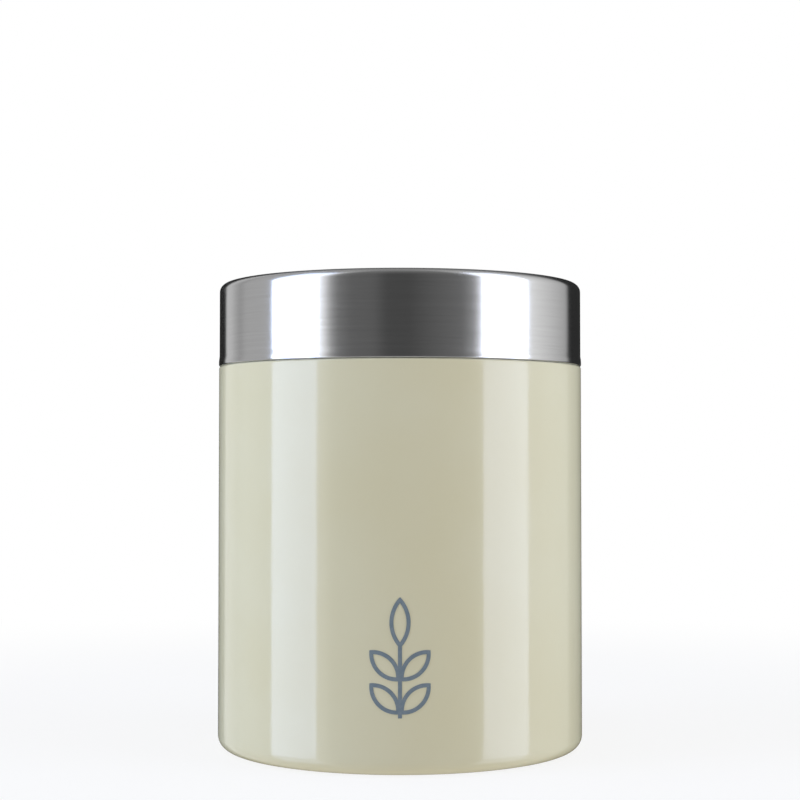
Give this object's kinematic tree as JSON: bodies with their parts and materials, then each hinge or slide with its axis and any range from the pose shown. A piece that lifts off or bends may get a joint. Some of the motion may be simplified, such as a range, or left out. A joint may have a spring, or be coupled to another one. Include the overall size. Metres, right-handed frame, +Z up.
{
  "type": "kitchen storage canister",
  "caption": "Round enamelled steel kitchen canister with a push-on brushed steel lid, for tea, coffee or other dry food.",
  "frame": {"origin": "centre of the flat foot ring that the canister stands on", "axes": "+Z up along the canister's axis, -Y towards the front with the printed mark"},
  "size_m": [0.1102, 0.1102, 0.1395],
  "materials": {
    "enamel": "glossy cream enamel on sheet steel",
    "sealant": "matt flexible sealing compound",
    "neck_steel": "satin stainless steel",
    "ink": "satin blue-grey printed ink",
    "lid_steel": "fine brushed stainless steel",
    "liner": "satin moulded plastic",
    "seal": "soft translucent white silicone"
  },
  "bodies": {
    "canister": {"side_wall": "enamel", "base_pan": "enamel", "base_sealant": "sealant", "neck_ring": "neck_steel", "front_mark": "ink"},
    "lid": {"lid_cap": "lid_steel", "lid_liner": "liner", "seal_ring": "seal"}
  },
  "joints": [
    {"name": "lid_lift", "type": "slide", "parent": "canister", "child": "lid", "axis": [0, 0, 1], "range_m": [0, 0.06]}
  ]
}
